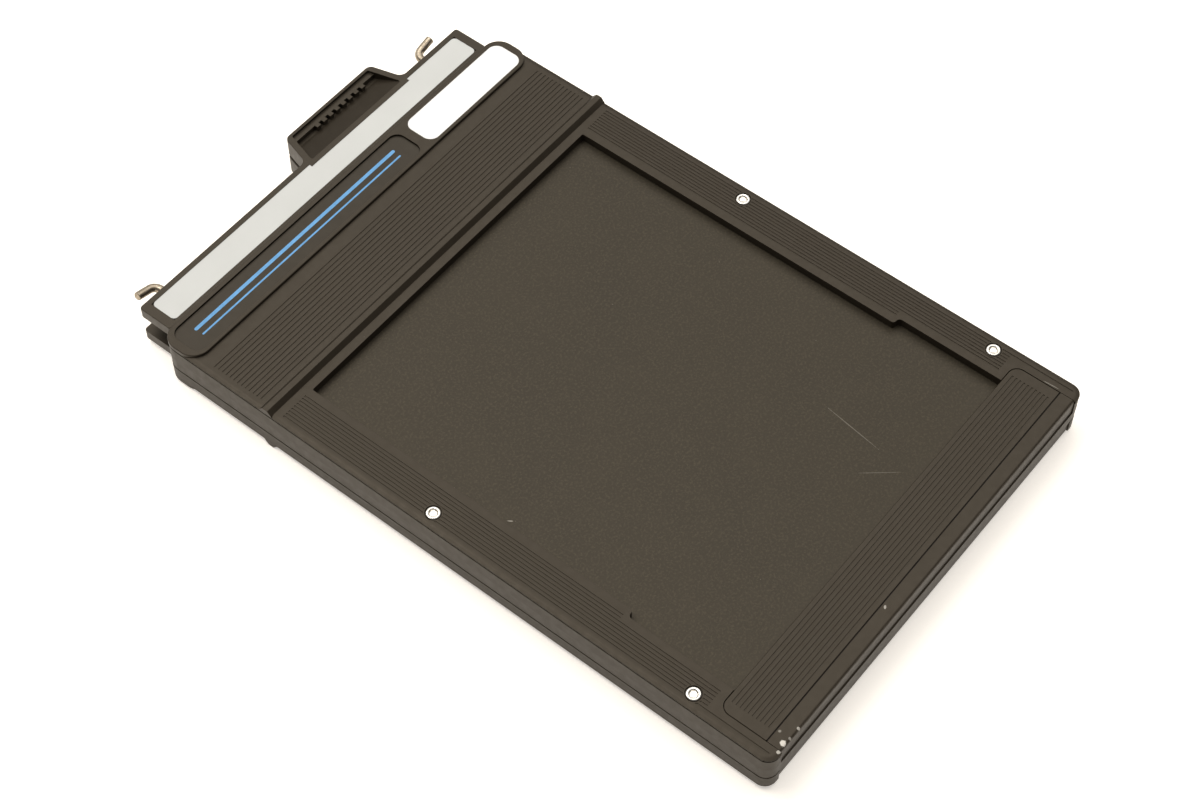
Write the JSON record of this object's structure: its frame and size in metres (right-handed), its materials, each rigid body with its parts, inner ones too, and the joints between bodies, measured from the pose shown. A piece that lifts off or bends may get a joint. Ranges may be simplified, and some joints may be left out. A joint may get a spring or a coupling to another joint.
{
  "type": "sheet film holder",
  "caption": "Double-sided sheet film holder with pull-out dark slides, hinged loading flaps, a light-tight septum body and turning wire slide locks.",
  "frame": {"origin": "middle of the bounding box in plan, on the resting plane (crest of the back lock rib)", "axes": "+Y along the holder from the loading flaps to the dark slide handles, +X across it, +Z out of the front face"},
  "size_m": [0.12, 0.1914, 0.0144],
  "materials": {
    "frame_plastic": "satin moulded black plastic",
    "cover_plastic": "fine matt moulded black plastic with lined fields",
    "septum_plastic": "matt black sheet",
    "rail_plastic": "matt black",
    "felt": "black light trap plush",
    "spring_steel": "blued spring steel",
    "flap_plastic": "fine matt moulded black plastic with lined field",
    "hinge_tape": "thin black hinge cloth",
    "panel_black": "matt black plate",
    "label_white": "matt white writing surface",
    "rivet_metal": "nickelled, satin",
    "slide_plastic": "fine grained matt black sheet",
    "handle_plastic": "satin moulded black plastic",
    "strip_grey": "light grey plastic strip",
    "hook_wire": "dull nickelled wire",
    "collar_brass": "turned brass"
  },
  "bodies": {
    "holder": {"body_frame": "frame_plastic", "front_cover": "cover_plastic", "back_cover": "cover_plastic", "septum": "septum_plastic", "front_rail_left": "rail_plastic", "front_rail_right": "rail_plastic", "back_rail_left": "rail_plastic", "back_rail_right": "rail_plastic", "front_felt": "felt", "back_felt": "felt", "front_trap_spring": "spring_steel", "back_trap_spring": "spring_steel", "front_end_bar": "flap_plastic", "back_end_bar": "flap_plastic", "front_flap_hinge": "hinge_tape", "back_flap_hinge": "hinge_tape", "front_name_panel": "panel_black", "back_name_panel": "panel_black", "front_memo_label": "label_white", "back_memo_label": "label_white", "rivet_upper_left": "rivet_metal", "rivet_upper_right": "rivet_metal", "rivet_lower_left": "rivet_metal", "rivet_lower_right": "rivet_metal"},
    "front_dark_slide": {"front_slide": "slide_plastic", "front_handle": "handle_plastic", "front_handle_strip": "strip_grey"},
    "back_dark_slide": {"back_slide": "slide_plastic", "back_handle": "handle_plastic", "back_handle_strip": "strip_grey"},
    "front_loading_flap": {"front_flap": "flap_plastic"},
    "back_loading_flap": {"back_flap": "flap_plastic"},
    "left_hook": {"lock_hook_left": "hook_wire", "hook_collar_left": "collar_brass"},
    "right_hook": {"lock_hook_right": "hook_wire", "hook_collar_right": "collar_brass"}
  },
  "joints": [
    {"name": "front_slide_pull", "type": "slide", "parent": "holder", "child": "front_dark_slide", "axis": [0, 1, 0], "range_m": [0, 0.15]},
    {"name": "back_slide_pull", "type": "slide", "parent": "holder", "child": "back_dark_slide", "axis": [0, 1, 0], "range_m": [0, 0.15]},
    {"name": "front_flap_open", "type": "hinge", "parent": "holder", "child": "front_loading_flap", "pos_m": [0, -0.0916, 0.0132], "axis": [1, 0, 0], "range_deg": [0, 165]},
    {"name": "back_flap_open", "type": "hinge", "parent": "holder", "child": "back_loading_flap", "pos_m": [0, -0.0916, 0.0012], "axis": [-1, 0, 0], "range_deg": [0, 165]},
    {"name": "left_hook_turn", "type": "hinge", "parent": "holder", "child": "left_hook", "pos_m": [-0.0467, 0.0923, 0.0072], "axis": [0, 1, 0], "continuous": true},
    {"name": "right_hook_turn", "type": "hinge", "parent": "holder", "child": "right_hook", "pos_m": [0.0467, 0.0923, 0.0072], "axis": [0, -1, 0], "continuous": true}
  ]
}
